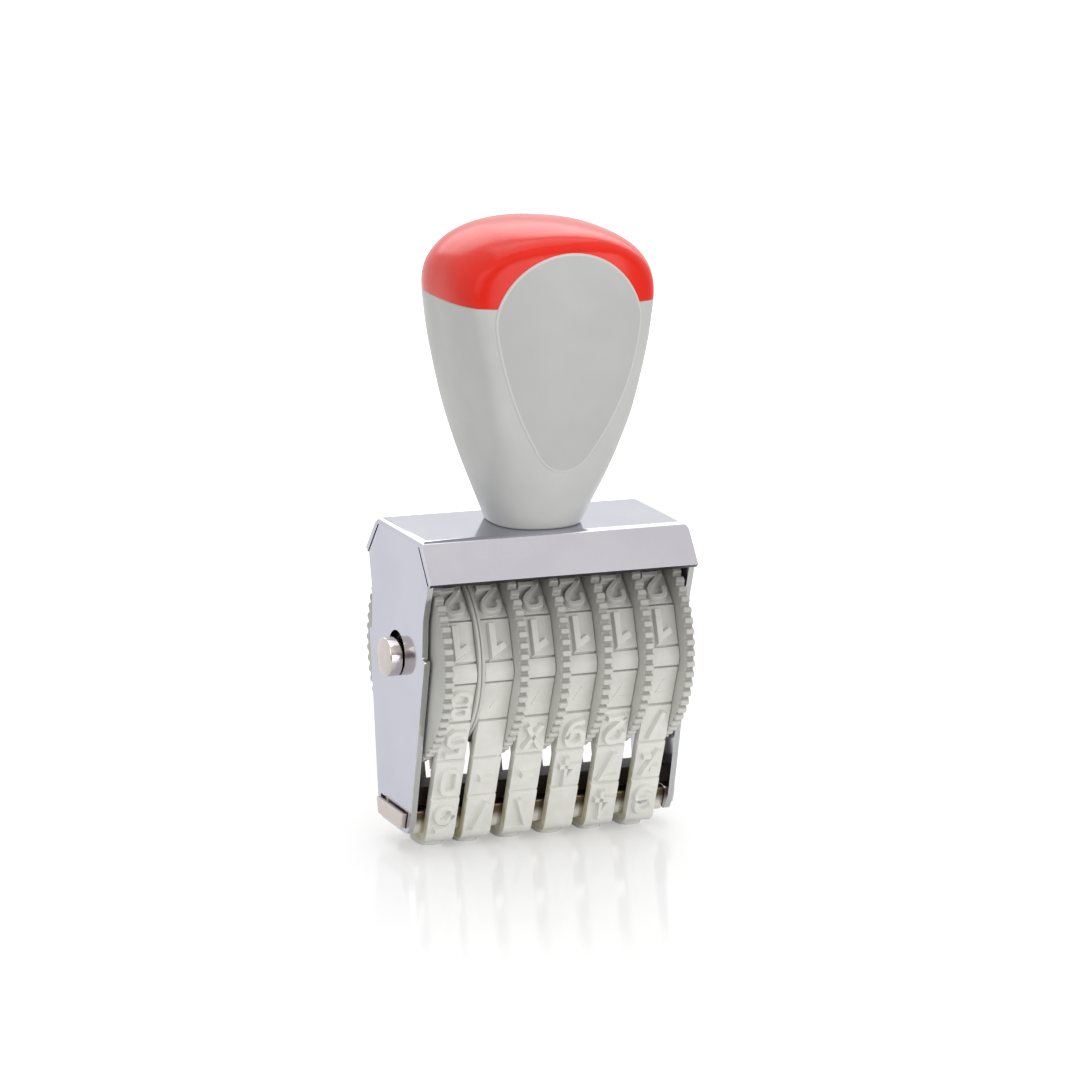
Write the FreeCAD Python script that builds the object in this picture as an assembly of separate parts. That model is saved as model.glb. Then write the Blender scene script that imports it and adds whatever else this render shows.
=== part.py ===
import FreeCAD, Part
import math
import os
from FreeCAD import Vector

# Hand numbering stamp with six rubber bands, each turned by its own thumb wheel.
# Millimetres. X runs along the wheel axle, -Y is the front and +Z is up.
# The origin is on the printing plane, under the middle of the stamp.

# Frame, one folded piece of sheet metal
WIDTH = 46.8
SHEET = 1.0
TOP_Z = 52.5
TOP_DEPTH = 19.0
BEND_R = 1.3
FLAP_TIP_Y = 14.2
FLAP_TIP_Z = 46.45
FLAP_SLIT = 0.4
SHOULDER_Z = 45.9
AXLE_HOLE_R = 3.6
PLATEN_SLOT_GAP = 0.35
# Front half of a side plate below its shoulder, as (depth, height, corner radius)
SIDE_PROFILE = [
    (11.0, 39.5, 8.0),
    (11.0, 33.6, 0.3),
    (12.0, 33.4, 0.4),
    (8.8, 15.0, 40.0),
    (7.1, 5.6, 1.2),
    (5.7, 3.0, 1.0),
]

# Axle and the stack on it
BANDS = 6
PITCH = 7.3
AXLE_Z = 31.5
AXLE_R = 3.2
AXLE_NECK_R = 2.9
AXLE_STICK_OUT = 2.3
AXLE_CHAMFER = 0.3
NECK_PLAY = 0.15
RUNNING_GAP = 0.05
WASHER_R = 6.5
WASHER_T = 0.4

# Thumb wheels
WHEEL_WIDTH = 7.2
FLANGE_TIP_R = 17.4
FLANGE_ROOT_R = 16.7
FLANGE_T = 1.5
DISC_R = 14.9
DISC_T = 0.55
DRUM_R = 12.05
TEETH = 60
TOOTH_ROOT_SHARE = 0.40
TOOTH_TIP_SHARE = 0.46
TOOTH_CROWN = 0.15

# Rubber bands
BAND_WIDTH = 5.0
BAND_T = 1.5
RELIEF = 1.0
CELL_VERTEX_R = 14.3
CELL_ARC = 27.7
CELLS_OVER_WHEEL = 6
RUN_CELLS = 4
NOSE_R = 2.4
GROOVE_WIDTH = 0.3
GROOVE_DEPTH = 0.45
NOSE_CORNER_Y = 5.71
NOSE_REACH = 1.4
STROKE = 0.8
NUMERAL_SINK = 0.3
NUMERAL_WIDTH = 3.4
NUMERAL_HEIGHT = 5.2

# Platen under the bands
PLATEN_GAP = 0.06
PLATEN_TOP_Z = 6.9
PLATEN_STICK_OUT = 0.9
TAB_BOTTOM_Z = 3.9
TAB_TOP_Z = 6.5
WEB_HALF_DEPTH = 2.9
WEB_TOP_Z = 9.8
EDGE_R = 0.4

# Rounded sides of the handle from neck to crown, as (height, half width, half depth,
# squareness), before the front and rear faces cut them
HANDLE_SIDES = [
    (52.5, 7.45, 10.4, 2.0),
    (56.0, 8.7, 12.2, 2.08),
    (61.0, 10.5, 14.8, 2.2),
    (66.0, 12.1, 17.1, 2.3),
    (72.0, 13.7, 19.3, 2.4),
    (78.0, 15.1, 20.6, 2.4),
    (84.0, 16.35, 20.4, 2.5),
    (88.0, 17.05, 19.3, 2.6),
    (91.0, 17.35, 18.0, 2.8),
    (94.0, 17.2, 16.7, 2.8),
    (96.8, 16.1, 15.8, 2.6),
    (99.3, 13.6, 15.0, 2.5),
    (101.2, 10.3, 13.1, 2.4),
    (103.0, 6.6, 10.2, 2.3),
]
# The crown follows an ellipsoid, given by its half axes
CROWN = (27.9, 35.8, 20.0)
CROWN_Z = 102.0
# Front and rear faces, as (height, half depth at the middle)
HANDLE_FACES = [
    (52.5, 8.2), (56.0, 9.5), (61.0, 11.35), (66.0, 12.75), (72.0, 14.0), (78.0, 14.85),
    (84.0, 15.1), (88.0, 15.05), (91.0, 14.8), (94.0, 14.4), (97.0, 13.95), (100.0, 13.6),
    (104.0, 12.95),
]
FACE_RADIUS = 38.0
PANEL_RAISE = 0.25
SKIN = 1.6
PARTING_Z = 90.0
SPIGOT_R = 8.0
SPIGOT_LENGTH = 4.0
PANEL_TOP_Z = 98.6
PANEL_SHOULDER = (12.8, 88.3)
PANEL_SIDE = (9.6, 75.1)
PANEL_CHIN = (4.7, 65.8)
PANEL_BOTTOM_Z = 62.6

# Fixing of the handle, from inside the frame
SCREW_R = 2.0
SCREW_HEAD_R = 3.8
SCREW_HEAD_T = 1.3
SCREW_TOP_Z = 64.0
SCREW_WASHER_R = 4.6
SCREW_WASHER_T = 0.5
INSERT_R = 3.2
INSERT_BOTTOM_Z = 53.5
INSERT_TOP_Z = 65.0
DRIVE_WIDTH = 0.9
DRIVE_DEPTH = 0.7

# Raised numerals, as strokes between points on a grid 4 wide and 6 high
NUMERALS = {
    "0": [[(1, 0), (3, 0), (4, 1.2), (4, 4.8), (3, 6), (1, 6), (0, 4.8), (0, 1.2), (1, 0)]],
    "1": [[(0.6, 4.6), (2.2, 6), (2.2, 0)]],
    "2": [[(0, 5), (1, 6), (3, 6), (4, 5), (4, 3.8), (0, 0), (4, 0)]],
    "3": [[(0, 6), (4, 6), (2, 3.6), (3.2, 3.4), (4, 2.4), (4, 1), (3, 0), (1, 0), (0, 0.8)]],
    "4": [[(3, 0), (3, 6), (0, 1.8), (4, 1.8)]],
    "5": [[(4, 6), (0.4, 6), (0, 3.2), (2.8, 3.4), (4, 2.4), (4, 1), (2.8, 0), (0, 0.3)]],
    "6": [[(3.4, 6), (1, 4.4), (0, 2.4), (0, 1), (1, 0), (3, 0), (4, 1), (4, 2.4), (3, 3.4), (0.6, 3.2)]],
    "7": [[(0, 6), (4, 6), (1.4, 0)]],
    "8": [
        [(1, 3.2), (0, 4.2), (0, 5), (1, 6), (3, 6), (4, 5), (4, 4.2), (3, 3.2), (1, 3.2)],
        [(1, 3.2), (0, 2.2), (0, 1), (1, 0), (3, 0), (4, 1), (4, 2.2), (3, 3.2)],
    ],
    "9": [[(0.6, 0), (3, 1.6), (4, 3.6), (4, 5), (3, 6), (1, 6), (0, 5), (0, 3.6), (1, 2.6), (3.4, 2.8)]],
}


def on_yz(y, z):
    return Vector(0, y, z)


def on_xz(x, z):
    return Vector(x, 0, z)


def outline(corners, place):
    """Closed wire through (u, v, radius) corners, each rounded by a tangent arc."""
    points = [Vector(u, v, 0) for u, v, radius in corners]
    edges = []
    joints = []
    for i, (u, v, radius) in enumerate(corners):
        corner = points[i]
        back = (points[i - 1] - corner).normalize()
        ahead = (points[(i + 1) % len(points)] - corner).normalize()
        if radius == 0:
            joints.append((corner, None, corner))
            continue
        half = back.getAngle(ahead) / 2
        reach = radius / math.tan(half)
        middle = (back + ahead).normalize() * (radius / math.sin(half) - radius)
        joints.append((corner + back * reach, corner + middle, corner + ahead * reach))
    for i, (start, middle, end) in enumerate(joints):
        following = joints[(i + 1) % len(joints)][0]
        if middle is not None:
            arc = [place(p.x, p.y) for p in (start, middle, end)]
            edges.append(Part.Arc(*arc).toShape())
        if end.distanceToPoint(following) > 1e-6:
            edges.append(Part.makeLine(place(end.x, end.y), place(following.x, following.y)))
    return Part.Wire(edges)


def prism_x(corners, x0, x1):
    """Solid between x0 and x1 whose section is an outline of (y, z, radius) corners."""
    solid = Part.Face(outline(corners, on_yz)).extrude(Vector(x1 - x0, 0, 0))
    solid.translate(Vector(x0, 0, 0))
    return solid


def disc_x(radius, x0, x1, z=AXLE_Z):
    return Part.makeCylinder(radius, x1 - x0, Vector(x0, 0, z), Vector(1, 0, 0))


def post_z(radius, z0, z1):
    return Part.makeCylinder(radius, z1 - z0, Vector(0, 0, z0))


def mirrored_corners(half):
    """Corners of a shape symmetric about v, from those on its +u side, top to bottom."""
    return half + [(-u, v, radius) for u, v, radius in reversed(half)]


def band_x(index):
    return (index - (BANDS - 1) / 2) * PITCH


def reach_at(start, along, height):
    """How far out a sloping line through start, as (depth, height), is at a height."""
    return start.x + (height - start.y) * along.x / along.y


def platen_corners(grow=0.0):
    """Section of the platen base, whose sloping faces the bands run down."""
    lean = run_lean()
    clear = BAND_T + PLATEN_GAP - grow
    bottom = RELIEF + BAND_T + PLATEN_GAP - grow
    top = PLATEN_TOP_Z + grow

    def half_depth(z):
        return NOSE_CORNER_Y + (z - RELIEF) * math.tan(lean) - clear / math.cos(lean)

    nose = NOSE_R - BAND_T
    return mirrored_corners([(half_depth(top), top, EDGE_R), (half_depth(bottom), bottom, nose)])


def frame_shell():
    """Folded sheet: top plate, two side plates and the slanting front and rear flaps."""
    half = WIDTH / 2
    section = [
        (-half, 0, 0), (-half, TOP_Z, BEND_R), (half, TOP_Z, BEND_R), (half, 0, 0),
        (half - SHEET, 0, 0), (half - SHEET, TOP_Z - SHEET, BEND_R - SHEET),
        (SHEET - half, TOP_Z - SHEET, BEND_R - SHEET), (SHEET - half, 0, 0),
    ]
    reach = 20.0
    folded = Part.Face(outline(section, on_xz)).extrude(Vector(0, 2 * reach, 0))
    folded.translate(Vector(0, -reach, 0))

    fold = Vector(TOP_DEPTH / 2, TOP_Z, 0)
    tip = Vector(FLAP_TIP_Y, FLAP_TIP_Z, 0)
    along = (tip - fold).normalize()
    inward = Vector(along.y, -along.x, 0)
    slit = fold + inward * (SHEET + FLAP_SLIT)
    shoulder = [
        (reach_at(slit, along, TOP_Z), TOP_Z, 0),
        (reach_at(slit, along, SHOULDER_Z), SHOULDER_Z, EDGE_R),
    ]
    shell = folded.common(prism_x(mirrored_corners(shoulder + SIDE_PROFILE), -WIDTH, WIDTH))

    inner_tip = tip + inward * SHEET
    inner_fold = reach_at(inner_tip, along, TOP_Z - SHEET)
    root = TOP_DEPTH / 4
    strip = [
        (root, TOP_Z, 0), (fold.x, fold.y, BEND_R), (tip.x, tip.y, 0),
        (inner_tip.x, inner_tip.y, 0), (inner_fold, TOP_Z - SHEET, BEND_R - SHEET),
        (root, TOP_Z - SHEET, 0),
    ]
    # The flaps' roots follow the rounded side folds
    outside = Part.Face(outline(section[:4], on_xz)).extrude(Vector(0, 2 * reach, 0))
    outside.translate(Vector(0, -reach, 0))
    for facing in (1, -1):
        corners = [(facing * y, z, radius) for y, z, radius in strip]
        shell = shell.fuse(prism_x(corners, -half, half).common(outside))

    hole_z = AXLE_Z + AXLE_HOLE_R - AXLE_NECK_R
    shell = shell.cut(disc_x(AXLE_HOLE_R, -WIDTH, WIDTH, hole_z))
    slot = prism_x(platen_corners(PLATEN_SLOT_GAP), -WIDTH, WIDTH)
    low = TAB_BOTTOM_Z - PLATEN_GAP
    high = TAB_TOP_Z + PLATEN_SLOT_GAP
    slot = slot.common(Part.makeBox(2 * WIDTH, 20, high - low, Vector(-WIDTH, -10, low)))
    shell = shell.cut(slot)
    return shell.cut(post_z(SCREW_R + 0.25, TOP_Z - 2 * SHEET, TOP_Z + SHEET)).removeSplitter()


def axle():
    """Plain pin with a neck at each side plate, which seats on the lower edge of its hole."""
    end = WIDTH / 2 + AXLE_STICK_OUT
    pin = disc_x(AXLE_R, -end, end)
    rims = [edge for edge in pin.Edges if isinstance(edge.Curve, Part.Circle)]
    pin = pin.makeChamfer(AXLE_CHAMFER, rims)
    for hand in (1, -1):
        middle = hand * (WIDTH - SHEET) / 2
        reach = SHEET / 2 + NECK_PLAY
        ring = disc_x(2 * AXLE_R, middle - reach, middle + reach)
        ring = ring.cut(disc_x(AXLE_NECK_R, middle - reach, middle + reach))
        pin = pin.cut(ring)
    return pin


def side_washer(hand):
    """Washer that takes up the space between the wheel stack and a side plate."""
    inner_face = WIDTH / 2 - SHEET
    stack_face = band_x(BANDS - 1) + WHEEL_WIDTH / 2
    middle = (inner_face + stack_face) / 2
    x0 = hand * middle - WASHER_T / 2
    ring = disc_x(WASHER_R, x0, x0 + WASHER_T)
    return ring.cut(disc_x(AXLE_R + RUNNING_GAP, x0, x0 + WASHER_T))


def toothed_disc(x0, x1):
    """Thumb flange with evenly spaced blunt teeth."""
    step = 2 * math.pi / TEETH
    edges = []

    def at(radius, angle):
        return Vector(0, radius * math.cos(angle), AXLE_Z + radius * math.sin(angle))

    root = TOOTH_ROOT_SHARE * step / 2
    crown = TOOTH_TIP_SHARE * step / 2
    for k in range(TEETH):
        tooth = (k + 0.5) * step
        valley_start = at(FLANGE_ROOT_R, tooth - step / 2 - root)
        valley_end = at(FLANGE_ROOT_R, tooth - step / 2 + root)
        crown_start = at(FLANGE_TIP_R - TOOTH_CROWN, tooth - crown)
        crown_end = at(FLANGE_TIP_R - TOOTH_CROWN, tooth + crown)
        next_valley = at(FLANGE_ROOT_R, tooth + step / 2 - root)
        edges.append(Part.makeLine(valley_start, valley_end))
        edges.append(Part.makeLine(valley_end, crown_start))
        edges.append(Part.Arc(crown_start, at(FLANGE_TIP_R, tooth), crown_end).toShape())
        edges.append(Part.makeLine(crown_end, next_valley))
    solid = Part.Face(Part.Wire(edges)).extrude(Vector(x1 - x0, 0, 0))
    solid.translate(Vector(x0, 0, 0))
    return solid


def thumb_wheel(index):
    """Drum with a toothed flange on one side and a plain disc on the other."""
    low = band_x(index) - WHEEL_WIDTH / 2
    high = low + WHEEL_WIDTH
    drum = disc_x(DRUM_R, low, high)
    if index == 0:
        wheel = drum.fuse([toothed_disc(low, low + FLANGE_T), disc_x(DISC_R, high - DISC_T, high)])
    else:
        wheel = drum.fuse([toothed_disc(high - FLANGE_T, high), disc_x(DISC_R, low, low + DISC_T)])
    return wheel.cut(disc_x(AXLE_R + RUNNING_GAP, low - 1, high + 1))


def wheel_vertices():
    """Corners of the band's outer face over the wheel, from front strip to rear strip."""
    strip_arc = 180 - CELLS_OVER_WHEEL * CELL_ARC
    angles = [-strip_arc / 2 + n * strip_arc for n in (0, 1)]
    angles += [strip_arc / 2 + n * CELL_ARC for n in range(1, CELLS_OVER_WHEEL + 1)]
    angles.append(180 + strip_arc / 2)
    turns = [math.radians(angle) for angle in angles]
    return [
        (-CELL_VERTEX_R * math.cos(turn), AXLE_Z + CELL_VERTEX_R * math.sin(turn)) for turn in turns
    ]


def run_lean():
    """Angle between the band's straight runs and the vertical."""
    y, z = wheel_vertices()[0]
    return math.atan((-y - NOSE_CORNER_Y) / (z - RELIEF))


def inset(points, distance):
    """Closed polygon moved inwards by a distance. Its points run clockwise."""
    lines = []
    for i, (y, z) in enumerate(points):
        y2, z2 = points[(i + 1) % len(points)]
        length = math.hypot(y2 - y, z2 - z)
        along = ((y2 - y) / length, (z2 - z) / length)
        normal = (along[1], -along[0])
        lines.append((y + normal[0] * distance, z + normal[1] * distance, along))
    moved = []
    for i, (y2, z2, (cy2, cz2)) in enumerate(lines):
        y1, z1, (cy1, cz1) = lines[i - 1]
        cross = cy1 * cz2 - cz1 * cy2
        reach = ((y2 - y1) * cz2 - (z2 - z1) * cy2) / cross
        moved.append((y1 + cy1 * reach, z1 + cz1 * reach))
    return moved


def cells():
    """Middle, outward direction and length of every cell, in order from the bottom cell
    up the rear run, over the wheel and down the front run."""
    vertices = wheel_vertices()
    found = [((0, RELIEF), (0, -1), 2 * NOSE_CORNER_Y)]
    lean = run_lean()
    top = vertices[-1]
    length = math.hypot(top[0] - NOSE_CORNER_Y, top[1] - RELIEF) - NOSE_REACH
    step = length / RUN_CELLS
    rear = []
    for n in range(RUN_CELLS):
        down = (RUN_CELLS - n - 0.5) * step
        middle = (top[0] - down * math.sin(lean), top[1] - down * math.cos(lean))
        rear.append((middle, (math.cos(lean), -math.sin(lean)), step))
    found += rear
    for (y1, z1), (y2, z2) in zip(vertices[::-1][:-1], vertices[::-1][1:]):
        middle = ((y1 + y2) / 2, (z1 + z2) / 2)
        away = math.hypot(middle[0], middle[1] - AXLE_Z)
        normal = (middle[0] / away, (middle[1] - AXLE_Z) / away)
        found.append((middle, normal, math.hypot(y2 - y1, z2 - z1)))
    found += [((-y, z), (-ny, nz), size) for (y, z), (ny, nz), size in reversed(rear)]
    return found


def cell_frame(cell):
    """Placement whose Z points out of the cell and whose Y runs up the numeral,
    which is towards the rear on the printing cell."""
    (y, z), (ny, nz), size = cell
    outward = Vector(0, ny, nz)
    along = Vector(0, -nz, ny)
    across = along.cross(outward)
    return FreeCAD.Placement(Vector(0, y, z), FreeCAD.Rotation(across, along, outward, "ZXY"))


def raised_numeral(name):
    """Reversed numeral, so that it prints the right way round, sunk a little in its cell."""
    depth = RELIEF + NUMERAL_SINK
    bars = []
    for stroke in NUMERALS[name]:
        spots = []
        for u, v in stroke:
            x = -(u / 4 - 0.5) * (NUMERAL_WIDTH - STROKE)
            y = (v / 6 - 0.5) * (NUMERAL_HEIGHT - STROKE)
            spots.append(Vector(x, y, -NUMERAL_SINK))
        for start, end in zip(spots[:-1], spots[1:]):
            run = end - start
            bar = Part.makeBox(run.Length, STROKE, depth, Vector(0, -STROKE / 2, 0))
            bar.rotate(Vector(0, 0, 0), Vector(0, 0, 1), math.degrees(math.atan2(run.y, run.x)))
            bar.translate(start)
            bars.append(bar)
            bars.append(Part.makeCylinder(STROKE / 2, depth, end))
        bars.append(Part.makeCylinder(STROKE / 2, depth, spots[0]))
    return bars[0].fuse(bars[1:]).removeSplitter()


def rubber_band():
    """Endless band with a flat cell for each character, grooved where it has to bend."""
    outer = wheel_vertices() + [(NOSE_CORNER_Y, RELIEF), (-NOSE_CORNER_Y, RELIEF)]
    noses = len(outer) - 2
    inner = inset(outer, BAND_T)
    radii = [0] * noses + [NOSE_R] * 2
    half = BAND_WIDTH / 2
    body = prism_x([(y, z, r) for (y, z), r in zip(outer, radii)], -half, half)
    radii = [EDGE_R] * noses + [NOSE_R - BAND_T] * 2
    body = body.cut(prism_x([(y, z, r) for (y, z), r in zip(inner, radii)], -half - 1, half + 1))
    layout = cells()
    notches = []
    for cell in layout[1:]:
        for end in (-0.5, 0.5):
            notch = Part.makeBox(
                BAND_WIDTH + 2, GROOVE_WIDTH, 2.0,
                Vector(-half - 1, end * cell[2] - GROOVE_WIDTH / 2, -GROOVE_DEPTH),
            )
            notch.Placement = cell_frame(cell)
            notches.append(notch)
    body = body.cut(notches)
    raised = []
    for name, place in zip("0987654321", numeral_cells(layout)):
        numeral = raised_numeral(name)
        numeral.Placement = cell_frame(place)
        raised.append(numeral)
    return body.fuse(raised).removeSplitter()


def numeral_cells(layout):
    """Cells for 0 down to 1: the bottom one, three of the rear run and six over the wheel."""
    rear = layout[2:1 + RUN_CELLS]
    over = layout[2 + RUN_CELLS:2 + RUN_CELLS + CELLS_OVER_WHEEL]
    return [layout[0]] + rear + over


def platen():
    """Bar that backs the printing cells, with a web on top and ends in the side plates."""
    inside = WIDTH / 2 - SHEET - 0.1
    end = WIDTH / 2 + PLATEN_STICK_OUT
    base = prism_x(platen_corners(), -inside, inside)
    web_foot = (WEB_HALF_DEPTH, PLATEN_TOP_Z - EDGE_R, 0)
    web = prism_x(mirrored_corners([(WEB_HALF_DEPTH, WEB_TOP_Z, EDGE_R), web_foot]), -inside, inside)
    tabs = prism_x(platen_corners(), -end, end)
    height = TAB_TOP_Z - TAB_BOTTOM_Z
    tabs = tabs.common(Part.makeBox(2 * end, 20, height, Vector(-end, -10, TAB_BOTTOM_Z)))
    return base.fuse([web, tabs]).removeSplitter()


def side_section(height, half_width, half_depth, squareness):
    """Closed curve between an ellipse and a rounded rectangle."""
    count = 32
    power = 2 / squareness
    spots = []
    for k in range(count):
        turn = 2 * math.pi * k / count
        c, s = math.cos(turn), math.sin(turn)
        x = half_width * math.copysign(abs(c) ** power, c)
        y = half_depth * math.copysign(abs(s) ** power, s)
        spots.append(Vector(x, y, height))
    curve = Part.BSplineCurve()
    curve.interpolate(spots, PeriodicFlag=True)
    return Part.Wire([curve.toShape()])


def face_block(grow):
    """Block between the handle's front and rear faces, each moved outwards by grow."""
    reach = 20.0
    wires = []
    for height, depth in HANDLE_FACES:
        middle = depth + grow
        corner = middle - reach * reach / (2 * FACE_RADIUS)
        front = [Vector(-reach, -corner, height), Vector(0, -middle, height), Vector(reach, -corner, height)]
        rear = [Vector(reach, corner, height), Vector(0, middle, height), Vector(-reach, corner, height)]
        wires.append(Part.Wire([
            Part.Arc(*front).toShape(), Part.makeLine(front[2], rear[0]),
            Part.Arc(*rear).toShape(), Part.makeLine(rear[2], front[0]),
        ]))
    return Part.makeLoft(wires, True, False)


def crown():
    """Everything above the frame that is under the ellipsoid of the crown."""
    stretch = FreeCAD.Matrix()
    stretch.scale(*CROWN)
    dome = Part.makeSphere(1).transformGeometry(stretch)
    dome.translate(Vector(0, 0, CROWN_Z - CROWN[2]))
    waist = CROWN_Z - CROWN[2] / 2
    dome = dome.common(Part.makeBox(80, 80, 40, Vector(-40, -40, waist)))
    return dome.fuse(Part.makeBox(40, 50, waist - TOP_Z, Vector(-20, -25, TOP_Z)))


def panel_prism(facing):
    """Shield-shaped block that marks out the panel on the front (-1) or the rear (1)."""
    (sx, sz), (mx, mz), (cx, cz) = PANEL_SHOULDER, PANEL_SIDE, PANEL_CHIN
    edges = [
        Part.Arc(on_xz(-sx, sz), on_xz(0, PANEL_TOP_Z), on_xz(sx, sz)).toShape(),
        Part.Arc(on_xz(sx, sz), on_xz(mx, mz), on_xz(cx, cz)).toShape(),
        Part.Arc(on_xz(cx, cz), on_xz(0, PANEL_BOTTOM_Z), on_xz(-cx, cz)).toShape(),
        Part.Arc(on_xz(-cx, cz), on_xz(-mx, mz), on_xz(-sx, sz)).toShape(),
    ]
    return Part.Face(Part.Wire(edges)).extrude(Vector(0, facing * 30, 0))


def handle_parts():
    """Handle body, crown cap and the two panels let into both."""
    form = Part.makeLoft([side_section(*row) for row in HANDLE_SIDES], True, False)
    form = form.common(face_block(0)).common(crown())
    sheets = face_block(PANEL_RAISE).cut(face_block(-SKIN))
    panels = [sheets.common(panel_prism(facing)) for facing in (-1, 1)]
    below = Part.makeBox(80, 80, PARTING_Z, Vector(-40, -40, 0))
    above = Part.makeBox(80, 80, 40, Vector(-40, -40, PARTING_Z))
    spigot = post_z(SPIGOT_R, PARTING_Z - 1, PARTING_Z + SPIGOT_LENGTH)
    cap = form.common(above).cut(panels + [spigot])
    body = form.common(below).cut(panels).fuse(spigot)
    body = body.cut(post_z(INSERT_R, TOP_Z - 1, INSERT_TOP_Z)).removeSplitter()
    return [body, cap] + panels


def handle_insert():
    tube = post_z(INSERT_R, INSERT_BOTTOM_Z, INSERT_TOP_Z)
    return tube.cut(post_z(SCREW_R, INSERT_BOTTOM_Z, INSERT_TOP_Z - 0.5))


def screw_washer():
    top = TOP_Z - SHEET
    return post_z(SCREW_WASHER_R, top - SCREW_WASHER_T, top).cut(post_z(SCREW_R + 0.1, 0, TOP_Z))


def handle_screw():
    """Low-headed slotted screw, driven up through the top plate into the handle."""
    seat = TOP_Z - SHEET - SCREW_WASHER_T
    screw = post_z(SCREW_HEAD_R, seat - SCREW_HEAD_T, seat).fuse(post_z(SCREW_R, seat - 0.5, SCREW_TOP_Z))
    slot = Part.makeBox(
        3 * SCREW_HEAD_R, DRIVE_WIDTH, DRIVE_DEPTH,
        Vector(-1.5 * SCREW_HEAD_R, -DRIVE_WIDTH / 2, seat - SCREW_HEAD_T),
    )
    return screw.cut(slot).removeSplitter()


def build():
    shapes = {
        "frame_shell": frame_shell(),
        "axle": axle(),
        "platen": platen(),
        "left_side_washer": side_washer(-1),
        "right_side_washer": side_washer(1),
        "handle_insert": handle_insert(),
        "screw_washer": screw_washer(),
        "handle_screw": handle_screw(),
    }
    names = ("handle_body", "handle_cap", "front_panel", "rear_panel")
    shapes.update(zip(names, handle_parts()))
    band = rubber_band()
    for index in range(BANDS):
        number = index + 1
        shapes[f"thumb_wheel_{number}"] = thumb_wheel(index)
        placed = band.copy()
        placed.translate(Vector(band_middle(index), 0, 0))
        shapes[f"rubber_band_{number}"] = placed
    return shapes


def band_middle(index):
    """Middle of the lane between a wheel's toothed flange and its plain disc."""
    shift = (FLANGE_T - DISC_T) / 2
    return band_x(index) + (shift if index == 0 else -shift)


def main():
    os.makedirs("parts", exist_ok=True)
    for name, shape in build().items():
        shape.exportStep(f"parts/{name}.step")
        box = shape.BoundBox
        print(name, len(shape.Solids), shape.isValid(), round(shape.Volume, 1),
              [round(v, 2) for v in (box.XMin, box.XMax, box.YMin, box.YMax, box.ZMin, box.ZMax)])


main()
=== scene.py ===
import math

import bmesh
import bpy
import numpy as np
from mathutils import Matrix, Vector


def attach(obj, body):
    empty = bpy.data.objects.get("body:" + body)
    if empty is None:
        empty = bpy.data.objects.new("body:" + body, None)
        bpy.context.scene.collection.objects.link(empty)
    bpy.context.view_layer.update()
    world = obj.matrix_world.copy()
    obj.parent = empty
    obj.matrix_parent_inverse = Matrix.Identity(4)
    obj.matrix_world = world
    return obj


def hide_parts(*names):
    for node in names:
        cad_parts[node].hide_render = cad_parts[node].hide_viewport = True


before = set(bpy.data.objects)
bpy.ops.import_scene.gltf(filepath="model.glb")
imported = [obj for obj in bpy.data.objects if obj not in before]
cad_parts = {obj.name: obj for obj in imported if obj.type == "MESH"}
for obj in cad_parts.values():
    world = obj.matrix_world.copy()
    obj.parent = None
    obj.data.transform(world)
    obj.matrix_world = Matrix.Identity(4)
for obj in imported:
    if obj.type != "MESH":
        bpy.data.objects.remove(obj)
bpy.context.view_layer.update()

# Looks of a hand numbering stamp with six rubber bands.
# Lengths below are millimetres, in the frame of the CAD part: X runs along the wheel
# axle, -Y is the front and +Z is up. Meshes are written in metres.
MM = 0.001

# Frame and the stack of wheels
WIDTH = 46.8
SHEET = 1.0
TOP_Z = 52.5
SHOULDER_Z = 45.9
HOLE_REACH = 4.6
CORNER_R = 0.12
BANDS = 6
PITCH = 7.3
AXLE_Z = 31.5
AXLE_R = 3.2
AXLE_NECK_R = 2.9
AXLE_STICK_OUT = 2.3
LATHE_PITCH = 0.09
NECK_PLAY = 0.15
RUNNING_GAP = 0.05
WHEEL_WIDTH = 7.2
FLANGE_TIP_R = 17.4
FLANGE_ROOT_R = 16.7
FLANGE_T = 1.5
FLANGE_BORE_R = 10.5
DISC_R = 14.9
DISC_T = 0.55
DRUM_R = 12.05
HUB_R = 5.8
DISH = 0.35
TEETH = 60

# Rubber bands
BAND_WIDTH = 5.0
BAND_T = 1.5
RELIEF = 1.0
GROOVE = 0.7
CELL_VERTEX_R = 14.3
CELL_ARC = 27.7
CELLS_OVER_WHEEL = 6
RUN_CELLS = 4
NOSE_R = 2.4
NOSE_CORNER_Y = 5.71
NOSE_REACH = 1.4
PLATEN_TOP_Z = 6.9

# Handle, with the same tables as the part's source: height, half width, half depth and
# squareness of its sides, then height and half depth of its curved faces
HANDLE_SIDES = [
    (52.5, 7.45, 10.4, 2.0), (56.0, 8.7, 12.2, 2.08), (61.0, 10.5, 14.8, 2.2),
    (66.0, 12.1, 17.1, 2.3), (72.0, 13.7, 19.3, 2.4), (78.0, 15.1, 20.6, 2.4),
    (84.0, 16.35, 20.4, 2.5), (88.0, 17.05, 19.3, 2.6), (91.0, 17.35, 18.0, 2.8),
    (94.0, 17.2, 16.7, 2.8), (96.8, 16.1, 15.8, 2.6), (99.3, 13.6, 15.0, 2.5),
    (101.2, 10.3, 13.1, 2.4), (103.0, 6.6, 10.2, 2.3),
]
HANDLE_FACES = [
    (52.5, 8.2), (56.0, 9.5), (61.0, 11.35), (66.0, 12.75), (72.0, 14.0), (78.0, 14.85),
    (84.0, 15.1), (88.0, 15.05), (91.0, 14.8), (94.0, 14.4), (97.0, 13.95), (100.0, 13.6),
    (104.0, 12.95),
]
FACE_RADIUS = 38.0
FACE_EASE = 0.9
NECK_EASE = 4.0
NECK_HEIGHT = 20
NECK_TOP_Z = 72
CROWN = (27.9, 35.8, 20.0)
CROWN_Z = 102.0
CROWN_EASE = 2.4
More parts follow.
